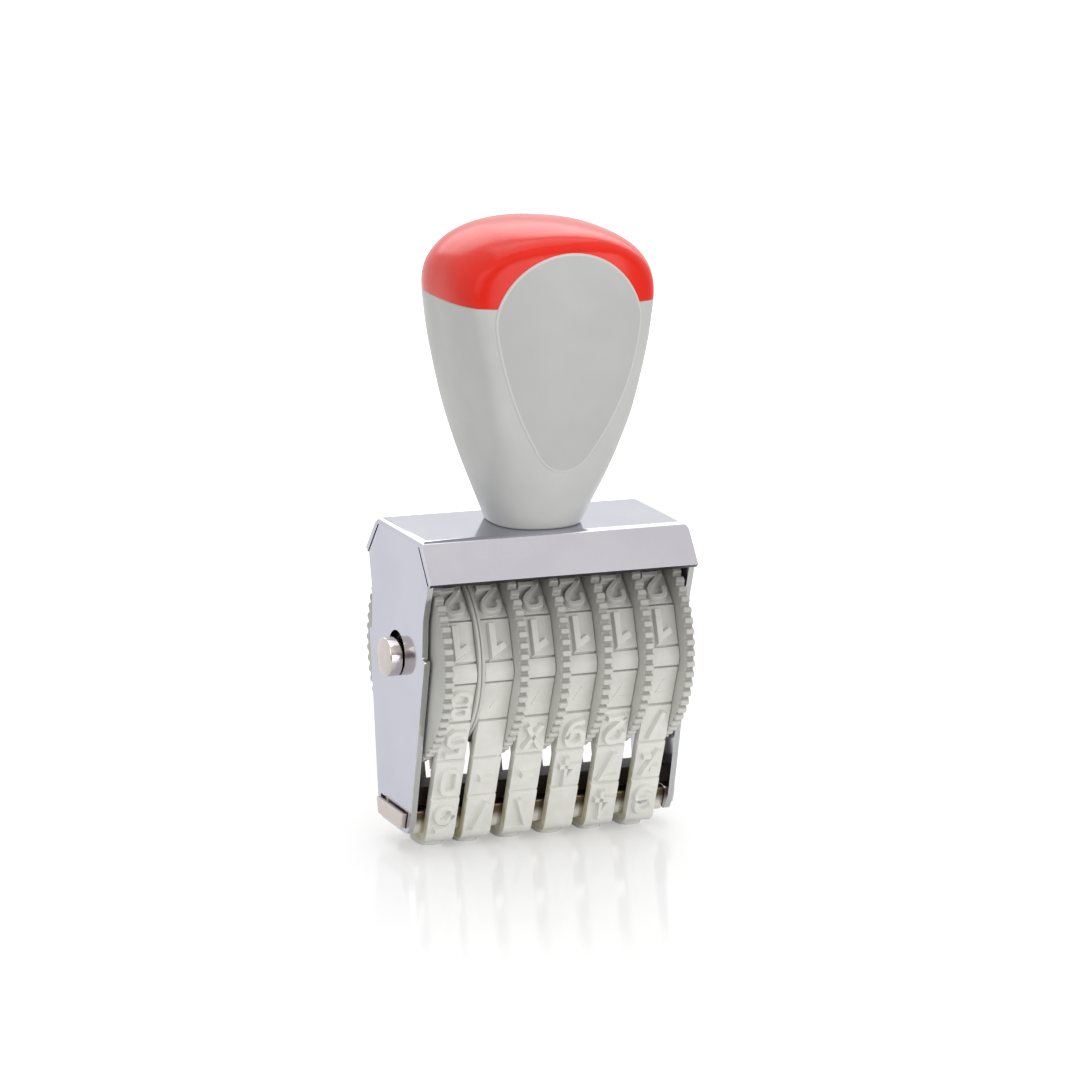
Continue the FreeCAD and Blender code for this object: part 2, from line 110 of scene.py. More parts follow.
PARTING_Z = 90.0
PANEL_RAISE = 0.25
PANEL_RIM = 0.42
PANEL_DEPTH = 1.2
PANEL_TOP_Z = 98.6
PANEL_SHOULDER = (12.8, 88.3)
PANEL_SIDE = (9.6, 75.1)
PANEL_CHIN = (4.7, 65.8)
PANEL_BOTTOM_Z = 62.6
PANEL_MIDDLE_Z = 81.0

# Raised characters, as strokes between points on a grid 4 wide and 6 high. The round
# ones have their corners cut until they run as curves.
ROUND = ("0", "2", "3", "6", "8", "9")
CHARACTERS = {
    "0": [[(0, 3), (0, 5), (0.8, 6), (3.2, 6), (4, 5), (4, 1), (3.2, 0), (0.8, 0), (0, 1),
           (0, 3)]],
    "1": [[(1.0, 4.9), (3.6, 6.2), (3.6, -0.2)]],
    "2": [[(0, 4.4), (0.2, 6.2), (4, 6.6), (4.4, 4), (1.2, 1.6), (0, 0)], [(0, 0), (4, 0)]],
    "3": [[(0.2, 5.6), (2, 6.5), (4.2, 5.6), (3.8, 3.2), (1.6, 3.2)],
          [(1.6, 3.2), (4, 3.4), (4.5, 0.8), (2.2, -0.6), (0, 0.4)]],
    "4": [[(3, -0.1), (3, 6), (0, 1.8), (4.1, 1.8)]],
    "5": [[(3.8, 6), (0.5, 6), (0.2, 3.2), (2.6, 3.6), (3.9, 2.6), (3.9, 1.0), (2.6, 0),
           (0, 0.3)]],
    "6": [[(3.6, 6), (0.4, 5.4), (-0.3, 0.4), (2, -0.5), (4.4, 0.4), (4, 3.4), (1.6, 3.9),
           (0.1, 2.2)]],
    "7": [[(0, 6), (4, 6), (1.4, -0.1)]],
    "8": [[(2, 3.2), (0, 3.6), (0, 6.1), (4, 6.1), (4, 3.6), (2, 3.2)],
          [(2, 3.2), (-0.4, 2.6), (-0.2, -0.2), (4.2, -0.2), (4.4, 2.6), (2, 3.2)]],
    "9": [[(0.4, 0), (3.6, 0.6), (4.3, 5.6), (2, 6.5), (-0.4, 5.6), (0, 2.6), (2.4, 2.1),
           (3.9, 3.8)]],
    "minus": [[(0.9, 3), (3.1, 3)]],
    "times": [[(0.3, 0.5), (3.7, 5.5)], [(0.3, 5.5), (3.7, 0.5)]],
    "slash": [[(0.8, 0), (3.2, 6)]],
    "backslash": [[(3.2, 0), (0.8, 6)]],
    "percent": [[(0.4, 0.2), (3.6, 5.8)], [(0.3, 4.6), (1.2, 4.6)], [(2.8, 1.3), (3.7, 1.3)]],
}
# Width, height, foot, top and relief of the faint characters under the half strip, and
# the characters down the front run of each band from there
FINE_SIZES = (2.0, 2.7, 0.2, 0.13, 0.16)
FRONT_MARKS = [
    ["8", "5", "0", "6"],
    ["fine", "", "minus", "slash"],
    ["fine", "times", "minus", "backslash"],
    ["fine", "9", "4", ""],
    ["fine", "2", "7", "4"],
    ["fine", "slash", "percent", "3"],
]


# Shapes

def unit(vector):
    return vector / np.linalg.norm(vector)


def left_of(way):
    return np.array([-way[1], way[0]])


def on_curve(rows, at):
    """Values between the rows of a table, by a natural cubic spline on its first column."""
    table = np.array(rows, float)
    knots, values = table[:, 0], table[:, 1:]
    gap = np.diff(knots)
    count = len(knots)
    system = np.eye(count)
    target = np.zeros_like(values)
    for i in range(1, count - 1):
        system[i, i - 1:i + 2] = gap[i - 1], 2 * (gap[i - 1] + gap[i]), gap[i]
        ahead = (values[i + 1] - values[i]) / gap[i]
        target[i] = 6 * (ahead - (values[i] - values[i - 1]) / gap[i - 1])
    bend = np.linalg.solve(system, target)
    at = np.clip(at, knots[0], knots[-1])
    k = np.clip(np.searchsorted(knots, at) - 1, 0, count - 2)
    step = gap[k][..., None]
    left = (knots[k + 1] - at)[..., None]
    right = (at - knots[k])[..., None]
    cubic = (bend[k] * left ** 3 + bend[k + 1] * right ** 3) / (6 * step)
    linear = (values[k] / step - bend[k] * step / 6) * left
    return cubic + linear + (values[k + 1] / step - bend[k + 1] * step / 6) * right


def mesh_of(name, points, faces, sharp=35.0):
    """Closed mesh from points in millimetres, merged, facing outwards and smooth shaded
    except across edges sharper than the angle in degrees."""
    mesh = bpy.data.meshes.new(name)
    mesh.from_pydata((np.asarray(points, float) * MM).tolist(), [], faces)
    work = bmesh.new()
    work.from_mesh(mesh)
    bmesh.ops.remove_doubles(work, verts=work.verts, dist=1e-6)
    bmesh.ops.recalc_face_normals(work, faces=work.faces)
    work.to_mesh(mesh)
    work.free()
    mesh.shade_smooth()
    mesh.set_sharp_from_angle(angle=math.radians(sharp))
    return mesh


def opened(mesh):
    """Points in millimetres and faces of a mesh."""
    points = [vertex.co / MM for vertex in mesh.vertices]
    return points, [tuple(face.vertices) for face in mesh.polygons]


def mark_points(mesh, name, values):
    """Number on every point of a mesh, for its material to read."""
    layer = mesh.attributes.new(name, "FLOAT", "POINT")
    layer.data.foreach_set("value", [float(value) for value in values])


def set_down(name, data):
    """Object for a mesh, lamp or camera, in the scene."""
    placed = bpy.data.objects.new(name, data)
    bpy.context.scene.collection.objects.link(placed)
    return placed


def taken_off(carrier):
    """Mesh of an object with its modifiers applied. The object is removed."""
    graph = bpy.context.evaluated_depsgraph_get()
    mesh = bpy.data.meshes.new_from_object(carrier.evaluated_get(graph))
    bpy.data.objects.remove(carrier)
    return mesh


def fit_piece(name, mesh, slot, *nodes, body="stamp"):
    """Object for a finished mesh, riding on a CAD body and standing for its CAD nodes."""
    mesh.materials.clear()
    mesh.materials.append(FINISHES[slot])
    piece = set_down(name, mesh)
    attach(piece, body)
    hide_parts(*nodes)


def skin(rings, loop=False):
    """Points and faces over closed rings of equal count. Ends that aren't joined into a
    loop are closed with a fan."""
    count = len(rings[0])
    points = [point for ring in rings for point in ring]
    faces = []
    for i in range(len(rings) if loop else len(rings) - 1):
        a, b = i * count, (i + 1) % len(rings) * count
        faces += [(a + j, a + (j + 1) % count, b + (j + 1) % count, b + j)
                  for j in range(count)]
    if not loop:
        for first, ring in ((0, rings[0]), ((len(rings) - 1) * count, rings[-1])):
            faces += [(len(points), first + j, first + (j + 1) % count) for j in range(count)]
            points.append(np.mean(ring, axis=0))
    return points, faces


def joined(parts):
    """Points and faces of several parts as one."""
    points, faces = [], []
    for some, more in parts:
        faces += [tuple(index + len(points) for index in face) for face in more]
        points += list(some)
    return points, faces


def turned(profile, count=96):
    """Rings of a profile of (x, radius) turned about the line of the axle."""
    turn = np.linspace(0, 2 * math.pi, count, endpoint=False)
    return [
        np.column_stack([np.full(count, x), r * np.cos(turn), AXLE_Z + r * np.sin(turn)])
        for x, r in profile
    ]


def band_x(index):
    return (index - (BANDS - 1) / 2) * PITCH


def band_middle(index):
    """Middle of the lane between a wheel's toothed flange and its plain disc."""
    shift = (FLANGE_T - DISC_T) / 2
    return band_x(index) + (shift if index == 0 else -shift)


# Node building

def add(tree, kind, inputs=None, **settings):
    """Node with its settings, and with its inputs set to values or linked to sockets."""
    node = tree.nodes.new(kind)
    for key, value in settings.items():
        setattr(node, key, value)
    for key, value in (inputs or {}).items():
        if isinstance(value, bpy.types.NodeSocket):
            tree.links.new(value, node.inputs[key])
        else:
            node.inputs[key].default_value = value
    return node


def maths(tree, operation, *values):
    return add(tree, "ShaderNodeMath", dict(enumerate(values)), operation=operation).outputs[0]


def product(tree, first, *others):
    for other in others:
        first = maths(tree, "MULTIPLY", first, other)
    return first


def between(tree, value, low, high, out_low=0.0, out_high=1.0):
    """Value mapped smoothly from one range to another."""
    ends = {"From Min": low, "From Max": high, "To Min": out_low, "To Max": out_high}
    node = add(tree, "ShaderNodeMapRange", {"Value": value, **ends},
               interpolation_type="SMOOTHSTEP")
    return node.outputs["Result"]


def tint(tree, factor, plain, changed):
    """Colour that goes from plain to changed as the factor goes from 0 to 1."""
    node = add(tree, "ShaderNodeMix", data_type="RGBA")
    for name, value in (("Factor_Float", factor), ("A_Color", plain), ("B_Color", changed)):
        socket = next(s for s in node.inputs if s.identifier == name)
        if isinstance(value, bpy.types.NodeSocket):
            tree.links.new(value, socket)
        else:
            socket.default_value = value if name == "Factor_Float" else (*value, 1.0)
    return next(s for s in node.outputs if s.identifier == "Result_Color")


def tints(tree, colour, *layers):
    """Colour with tints laid over it in turn, each given by its mask and its colour."""
    for mask, changed in layers:
        colour = tint(tree, mask, colour, changed)
    return colour


def plus(tree, value, *shares):
    """Value with shares of masks added to it."""
    for mask, share in shares:
        value = maths(tree, "MULTIPLY_ADD", mask, share, value)
    return value


def split(tree, vector):
    """X, Y and Z of a vector."""
    return add(tree, "ShaderNodeSeparateXYZ", {0: vector}).outputs


def in_object(tree):
    return add(tree, "ShaderNodeTexCoord").outputs["Object"]


def coordinates(tree):
    """X, Y and Z of a place on the object, in metres."""
    return split(tree, in_object(tree))


def facing(tree):
    """X, Y and Z of the way a surface faces."""
    return split(tree, add(tree, "ShaderNodeNewGeometry").outputs["Normal"])


def from_axle(tree):
    """Distance from the line of the axle, in metres."""
    place = coordinates(tree)
    rise = maths(tree, "SUBTRACT", place["Z"], AXLE_Z * MM)
    squares = [maths(tree, "POWER", value, 2.0) for value in (place["Y"], rise)]
    return maths(tree, "SQRT", maths(tree, "ADD", *squares))


def noise(tree, size, detail, roughness=0.5):
    """Noise on the object whose features are about a size in millimetres long."""
    scale = maths(tree, "DIVIDE", 1 / MM, size)
    return add(tree, "ShaderNodeTexNoise", {
        "Vector": in_object(tree), "Scale": scale, "Detail": detail, "Roughness": roughness,
    }).outputs[0]


def new_effect(name, inputs, outputs):
    """Shader node group with number inputs, given with their defaults, and its outputs."""
    tree = bpy.data.node_groups.new(name, "ShaderNodeTree")
    for label, value in inputs.items():
        socket = tree.interface.new_socket(
            label, in_out="INPUT", socket_type="NodeSocketFloat")
        socket.default_value = value
    for label in outputs:
        tree.interface.new_socket(label, in_out="OUTPUT", socket_type="NodeSocketFloat")
    given, result = tree.nodes.new("NodeGroupInput"), tree.nodes.new("NodeGroupOutput")
    return tree, given.outputs, result.inputs


def make_fine_grain():
    """Moulded or matt grain: a fine height, and a slow mottle of the same material."""
    tree, given, result = new_effect(
        "fine_grain", {"Grain Size": 0.25, "Mottle Size": 6.0}, ["Height", "Mottle"])
    tree.links.new(noise(tree, given["Grain Size"], 2.0, 0.6), result["Height"])
    mottle = noise(tree, given["Mottle Size"], 4.0, 0.55)
    tree.links.new(between(tree, mottle, 0.3, 0.7), result["Mottle"])
    return tree


def make_hairlines():
    """Fine lines left by rolling, polishing or brushing, long across the object."""
    tree, given, result = new_effect(
        "hairlines", {"Line Width": 0.12, "Line Length": 14.0}, ["Height", "Lines"])
    across = maths(tree, "DIVIDE", 1 / MM, given["Line Width"])
    along = maths(tree, "DIVIDE", 1 / MM, given["Line Length"])
    stretch = add(tree, "ShaderNodeCombineXYZ", {"X": along, "Y": across, "Z": across})
    drawn = add(tree, "ShaderNodeVectorMath", {0: in_object(tree), 1: stretch.outputs[0]},
                operation="MULTIPLY").outputs[0]
    height = add(tree, "ShaderNodeTexNoise", {
        "Vector": drawn, "Scale": 1.0, "Detail": 3.0}).outputs[0]
    tree.links.new(height, result["Height"])
    tree.links.new(between(tree, height, 0.56, 0.74), result["Lines"])
    return tree


def make_edge_wear():
    """Mask of the outer corners, broken up as handling breaks them up."""
    tree, given, result = new_effect(
        "edge_wear", {"Reach": 0.3, "Patch Size": 1.6}, ["Mask"])
    radius = maths(tree, "MULTIPLY", given["Reach"], MM)
    rounded = add(tree, "ShaderNodeBevel", {"Radius": radius}, samples=4).outputs[0]
    plain = add(tree, "ShaderNodeNewGeometry").outputs["Normal"]
    match = add(tree, "ShaderNodeVectorMath", {0: rounded, 1: plain}, operation="DOT_PRODUCT")
    corner = between(tree, match.outputs["Value"], 0.995, 0.86)
    broken = between(tree, noise(tree, given["Patch Size"], 3.0), 0.35, 0.6, 0.35, 1.0)
    tree.links.new(product(tree, corner, broken), result["Mask"])
    return tree


def make_dust():
    """Mask of the light dust that lies on surfaces that face up."""
    tree, given, result = new_effect(
        "settled_dust", {"Amount": 0.3, "Speck Size": 0.35}, ["Mask"])
    up = between(tree, facing(tree)["Z"], 0.1, 0.95)
    lying = between(tree, noise(tree, given["Speck Size"], 5.0, 0.7), 0.5, 0.72)
    tree.links.new(product(tree, up, lying, given["Amount"]), result["Mask"])
    return tree


EFFECTS = {
    "grain": make_fine_grain(), "hairlines": make_hairlines(),
    "wear": make_edge_wear(), "dust": make_dust(),
}


def effect(tree, name, **values):
    """Placed copy of a shared effect, its inputs named with underscores for spaces."""
    node = add(tree, "ShaderNodeGroup", node_tree=EFFECTS[name])
    for key, value in values.items():
        node.inputs[key.replace("_", " ")].default_value = value
    return node.outputs


# Materials

def new_finish(name, metallic=0.0, **sockets):
    """Material with one Principled shader. Constants go on its own sockets."""
    material = bpy.data.materials.new(name)
    material.use_nodes = True
    tree = material.node_tree
    shader = tree.nodes["Principled BSDF"]
    shader.inputs["Metallic"].default_value = metallic
    for key, value in sockets.items():
        shader.inputs[key.replace("_", " ")].default_value = value
    return material, tree, shader.inputs


def dress(tree, shader, colour, roughness, height, depth, strength=1.0):
    """Colour, roughness and bump of a shader. The height is worth depth millimetres."""
    bump = add(tree, "ShaderNodeBump", {
        "Height": height, "Distance": depth * MM, "Strength": strength})
    tree.links.new(colour, shader["Base Color"])
    tree.links.new(roughness, shader["Roughness"])
    tree.links.new(bump.outputs[0], shader["Normal"])


def chromed_sheet():
    """Bright sheet with a bluish cast. Its cut edges are dull, and the rims of its holes
    and the insides of its flaps are painted dark, as painted shade."""
    material, tree, shader = new_finish("chromed_sheet", 1.0)
    lines = effect(tree, "hairlines", Line_Width=0.05, Line_Length=9.0)
    grain = effect(tree, "grain", Grain_Size=0.6, Mottle_Size=14.0)
    wear = effect(tree, "wear", Reach=0.22, Patch_Size=2.0)
    dust = effect(tree, "dust", Amount=0.12, Speck_Size=0.5)
    place, way = coordinates(tree), facing(tree)
    shoulder = (SHOULDER_Z - 0.1) * MM
    inside = (WIDTH / 2 - SHEET - 0.02) * MM
    in_plate = maths(tree, "GREATER_THAN", maths(tree, "ABSOLUTE", place["X"]), inside)
    edge_on = maths(tree, "LESS_THAN", maths(tree, "ABSOLUTE", way["X"]), 0.4)
    cut = product(tree, in_plate, edge_on, maths(tree, "LESS_THAN", place["Z"], shoulder))
    # Painted shade: the cut edges round the axle holes are painted near black, and the
    # undersides of the flaps dark
    hole_rim_shade = product(
        tree, cut, maths(tree, "LESS_THAN", from_axle(tree), HOLE_REACH * MM))
    under = product(tree, maths(tree, "GREATER_THAN", place["Z"], shoulder),
                    between(tree, way["Z"], -0.2, -0.5))
    body = tints(
        tree, (0.53, 0.53, 0.615), (grain["Mottle"], (0.57, 0.57, 0.65)),
        (cut, (0.5, 0.51, 0.5)), (wear["Mask"], (0.8, 0.8, 0.84)),
        (hole_rim_shade, (0.03, 0.03, 0.03)), (under, (0.1, 0.1, 0.105)),
        (dust["Mask"], (0.75, 0.75, 0.74)))
    rough = plus(tree, 0.09, (lines["Lines"], 0.06), (cut, 0.12), (under, 0.3),
                 (dust["Mask"], 1.0))
    dress(tree, shader, body, rough, lines["Height"], 0.002, 0.35)
    return material


def pin_metal():
    """Bright nickel, faced on the lathe: fine rings about the line of the axle."""
    material, tree, shader = new_finish("pin_nickel", 1.0)
    turns = maths(tree, "MULTIPLY", from_axle(tree), 2 * math.pi / (LATHE_PITCH * MM))
    rings = maths(tree, "SINE", turns)
    lines = effect(tree, "hairlines", Line_Width=0.3, Line_Length=0.06)
    wear = effect(tree, "wear", Reach=0.2, Patch_Size=0.8)
    body = tints(tree, (0.6, 0.55, 0.52), (lines["Lines"], (0.48, 0.43, 0.4)),
                 (wear["Mask"], (0.8, 0.76, 0.72)))
    rough = plus(tree, 0.12, (lines["Lines"], 0.1))
    dress(tree, shader, body, rough, plus(tree, lines["Height"], (rings, 0.5)), 0.0012, 0.5)
    return material


def platen_metal():
    """Drawn bar with warm ends. It is dark between the bands, partly its own bronze tone and
    partly painted shade; its bottom is painted lighter, a painted reflection; and the web above
    is painted shade."""
    material, tree, shader = new_finish("platen_bar", 1.0)
    place = coordinates(tree)
    lines = effect(tree, "hairlines", Line_Width=0.1, Line_Length=20.0)
    wear = effect(tree, "wear", Reach=0.3, Patch_Size=1.5)
    dust = effect(tree, "dust", Amount=0.2, Speck_Size=0.3)
    # Painted shade: the web above the platen's top, between the bands, is painted dark brown
    web = between(tree, place["Z"], (PLATEN_TOP_Z + 0.02) * MM, (PLATEN_TOP_Z + 0.1) * MM)
    end = between(tree, maths(tree, "ABSOLUTE", place["X"]),
                  (WIDTH / 2 - 1.2) * MM, (WIDTH / 2 - 0.9) * MM)
    # Painted reflection: the bottom is painted lighter, from 5.6 mm down to 3.8 mm
    low = between(tree, place["Z"], 5.6 * MM, 3.8 * MM)
    # The dark body colour between the bands is partly the bar's own bronze tone and partly
    # painted shade
    body = tints(
        tree, (0.11, 0.085, 0.05), (low, (0.74, 0.72, 0.66)), (end, (0.64, 0.57, 0.54)),
        (product(tree, lines["Lines"], 0.4), (0.3, 0.26, 0.21)),
        (wear["Mask"], (0.82, 0.74, 0.68)), (web, (0.055, 0.033, 0.022)),
        (dust["Mask"], (0.4, 0.38, 0.35)))
    tree.links.new(maths(tree, "SUBTRACT", 1.0, web), shader["Metallic"])
    rough = plus(tree, 0.24, (web, 0.25))
    dress(tree, shader, body, rough, lines["Height"], 0.004, 0.6)
    return material


def zinc_plate():
    """Zinc-plated washers and screw. The side washers are painted dark, as painted shade."""
    material, tree, shader = new_finish("zinc_plate", 1.0)
    grain = effect(tree, "grain", Grain_Size=0.15, Mottle_Size=1.2)
    wear = effect(tree, "wear", Reach=0.15, Patch_Size=0.6)
    out = maths(tree, "ABSOLUTE", coordinates(tree)["X"])
    # Painted shade: parts beyond the side plates' inner faces are painted dark
    side_washer_shade = maths(tree, "GREATER_THAN", out, (WIDTH / 2 - 2) * MM)
    body = tints(
        tree, (0.56, 0.57, 0.59), (grain["Mottle"], (0.68, 0.67, 0.62)),
        (side_washer_shade, (0.07, 0.065, 0.055)), (wear["Mask"], (0.85, 0.85, 0.83)))
    rough = plus(tree, 0.28, (grain["Mottle"], 0.12))
    dress(tree, shader, body, rough, grain["Height"], 0.004)
    return material


def insert_brass():
    """Turned brass, tarnished in patches."""
    material, tree, shader = new_finish("insert_brass", 1.0)
    lines = effect(tree, "hairlines", Line_Width=0.4, Line_Length=0.08)
    grain = effect(tree, "grain", Grain_Size=0.2, Mottle_Size=2.0)
    body = tints(tree, (0.7, 0.5, 0.2), (grain["Mottle"], (0.58, 0.4, 0.17)),
                 (lines["Lines"], (0.82, 0.64, 0.32)))
    rough = plus(tree, 0.24, (grain["Mottle"], 0.15))
    dress(tree, shader, body, rough, lines["Height"], 0.003)
    return material


def moulded_plastic(name, light, dark, worn, roughness, grain_size, depth,
                    dust_amount=0.25, marks=lambda tree: (), **sockets):
    """Moulded plastic: slow mottle, fine grain, paler corners, a little dust, and the
    tints that a function lays over them."""
    material, tree, shader = new_finish(name, **sockets)
    grain = effect(tree, "grain", Grain_Size=grain_size, Mottle_Size=9.0)
    wear = effect(tree, "wear", Reach=0.25, Patch_Size=1.8)
    dust = effect(tree, "dust", Amount=dust_amount, Speck_Size=0.3)
    body = tints(
        tree, light, (grain["Mottle"], dark), (product(tree, wear["Mask"], 0.5), worn),
        (dust["Mask"], (0.78, 0.77, 0.74)), *marks(tree))
    rough = plus(tree, roughness, (grain["Mottle"], 0.06), (dust["Mask"], 0.4))
    dress(tree, shader, body, rough, grain["Height"], depth)
    return material


def point_mark(tree, name):
    return add(tree, "ShaderNodeAttribute", attribute_name=name).outputs["Fac"]


# The panel's rim is painted lighter: a painted highlight along its rounded edge
def rim_highlight(tree):
    return [(point_mark(tree, "rim"), (0.62, 0.625, 0.61))]


def shade_under_flaps(tree):
    """Mask of painted shade towards the top of the wheels and bands, under the flaps."""
    return between(tree, coordinates(tree)["Z"], 22.0 * MM, 48.0 * MM, 0.0, 0.8)


def wheel_shade(tree):
    """Painted shade towards the top under the flaps, and painted shade in the hollows between
    the teeth of a flange.
    """
    away = from_axle(tree)
    deep = between(tree, away, (FLANGE_ROOT_R + 0.5) * MM, (FLANGE_ROOT_R + 0.1) * MM)
    beyond = maths(tree, "GREATER_THAN", away, (FLANGE_ROOT_R - 0.2) * MM)
    level = between(tree, maths(tree, "ABSOLUTE", facing(tree)["X"]), 0.8, 0.4)
    # Painted shade: darker towards the top, and darker deep in the hollows between the teeth
    return [(shade_under_flaps(tree), (0.32, 0.31, 0.29)),
            (product(tree, deep, beyond, level), (0.34, 0.33, 0.3))]


def band_rubber():
    """Light rubber, powdery on its faces and yellowed along its sides near the platen."""
    material, tree, shader = new_finish("band_rubber")
    grain = effect(tree, "grain", Grain_Size=0.18, Mottle_Size=3.0)
    wear = effect(tree, "wear", Reach=0.2, Patch_Size=0.9)
    dust = effect(tree, "dust", Amount=0.3, Speck_Size=0.25)
    low = between(tree, coordinates(tree)["Z"], 16.0 * MM, 9.0 * MM)
    patchy = between(tree, grain["Mottle"], 0.2, 0.8, 0.35, 1.0)
    aged = product(tree, point_mark(tree, "side"), low, patchy)
    # The darker tint towards the top is painted shade under the flaps
    body = tints(
        tree, (0.82, 0.81, 0.77), (grain["Mottle"], (0.76, 0.755, 0.705)),
        (aged, (0.62, 0.585, 0.42)), (shade_under_flaps(tree), (0.36, 0.35, 0.325)),
        (product(tree, wear["Mask"], 0.6), (0.88, 0.88, 0.85)),
        (dust["Mask"], (0.62, 0.6, 0.54)))
    rough = plus(tree, 0.5, (grain["Mottle"], 0.12))
    dress(tree, shader, body, rough, grain["Height"], 0.01)
    return material


FINISHES = {
    "chromed_sheet": chromed_sheet(),
    "axle_metal": pin_metal(),
    "platen_metal": platen_metal(),
    "washer_metal": zinc_plate(),
    "insert_brass": insert_brass(),
    "handle_plastic": moulded_plastic(
        "handle_grey", (0.56, 0.565, 0.545), (0.53, 0.535, 0.515), (0.66, 0.66, 0.64),
        0.32, 0.5, 0.006),
    "panel_plastic": moulded_plastic(
        "panel_grey", (0.5, 0.505, 0.49), (0.475, 0.48, 0.465), (0.7, 0.7, 0.68),
        0.5, 0.16, 0.008, marks=rim_highlight),
    "cap_plastic": moulded_plastic(
        "cap_red", (0.82, 0.024, 0.01), (0.76, 0.018, 0.007), (0.85, 0.08, 0.04),
        0.16, 0.9, 0.003, dust_amount=0.03, Specular_IOR_Level=0.25),
    "wheel_plastic": moulded_plastic(
        "wheel_grey", (0.66, 0.66, 0.62), (0.6, 0.6, 0.56), (0.8, 0.8, 0.77),
        0.42, 0.22, 0.008, marks=wheel_shade),
    "band_rubber": band_rubber(),
}


# Metal parts

def softened(node):
    """Merged copy of a CAD node's mesh with its corners rounded."""
    mesh = mesh_of(node + "_rounded", *opened(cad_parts[node].data))
    work = bmesh.new()
    work.from_mesh(mesh)
    bmesh.ops.dissolve_limit(
        work, angle_limit=math.radians(0.5), verts=work.verts, edges=work.edges)
    work.to_mesh(mesh)
    work.free()
    for edge in mesh.edges:
        edge.use_edge_sharp = False
    carrier = set_down(mesh.name, mesh)
    bevel = carrier.modifiers.new("rounded_corners", "BEVEL")
    bevel.width = CORNER_R * MM
    bevel.segments = 2
    bevel.limit_method = "ANGLE"
    bevel.angle_limit = math.radians(30)
    carrier.modifiers.new("flat_faces", "WEIGHTED_NORMAL").weight = 100
    return taken_off(carrier)


def make_axle():
    """Pin with chamfered ends and a neck in each side plate."""
    plate = WIDTH / 2
    collar = plate + NECK_PLAY
    end = plate + AXLE_STICK_OUT
    inside = plate - SHEET - NECK_PLAY
    right = [
        (0, AXLE_R), (inside - 0.06, AXLE_R), (inside, AXLE_R - 0.06), (inside, AXLE_NECK_R),
        (collar, AXLE_NECK_R), (collar, AXLE_R - 0.06), (collar + 0.06, AXLE_R),
        (end - 0.32, AXLE_R), (end - 0.22, AXLE_R - 0.04), (end - 0.05, AXLE_R - 0.22),
        (end, AXLE_R - 0.34), (end, 1.4), (end, 0.35),
    ]
    left = [(-x, r) for x, r in reversed(right[1:])]
    mesh = mesh_of("axle_pin", *skin(turned(left + right)))
    fit_piece("axle_pin", mesh, "axle_metal", "axle")


# Thumb wheels

def tooth_outline(inset):
    """Half hollow, peg and half hollow of one pitch, as (angle, radius), with the peg
    drawn in and the hollow lowered by an inset."""
    pitch = 2 * math.pi * FLANGE_TIP_R / TEETH
    half = [
        (0.0, FLANGE_ROOT_R - inset), (0.30, FLANGE_ROOT_R + 0.11 - inset),
        (0.44 + inset / 2, FLANGE_ROOT_R + 0.36),
        (0.46 + inset, FLANGE_TIP_R - 0.14 - inset / 2), (0.58 + inset, FLANGE_TIP_R - inset),
    ]
    top = (pitch / 2, FLANGE_TIP_R - inset)
    spots = half + [top] + [(pitch - u, r) for u, r in reversed(half)]
    return [((u - pitch / 2) / FLANGE_TIP_R, r) for u, r in spots]


def one_tooth():
    """Sector of a toothed flange, open where it meets its neighbours. The line of the
    axle is its X axis and the flange's thickness runs from 0."""
    soft = 0.13
    sections = [(0.0, soft), (soft, 0.0), (FLANGE_T - soft, 0.0), (FLANGE_T, soft)]
    points, faces = [], []
    for x, inset in sections:
        points += [(x, r * math.cos(a), r * math.sin(a)) for a, r in tooth_outline(inset)]
    count = len(points) // len(sections)
    for s in range(len(sections) - 1):
        a, b = s * count, (s + 1) * count
        faces += [(a + j, a + j + 1, b + j + 1, b + j) for j in range(count - 1)]
    reach = math.pi / TEETH
    bore = [(FLANGE_BORE_R * math.cos(a), FLANGE_BORE_R * math.sin(a)) for a in (-reach, reach)]
    first = len(points)
    points += [(x, y, z) for x in (0.0, FLANGE_T) for y, z in bore]
    last = (len(sections) - 1) * count
    faces.append((*range(count), first + 1, first))
    faces.append((*range(last + count - 1, last - 1, -1), first + 2, first + 3))
    faces.append((first, first + 1, first + 3, first + 2))
    mesh = bpy.data.meshes.new("one_tooth")
    mesh.from_pydata((np.array(points) * MM).tolist(), [], faces)
    return mesh


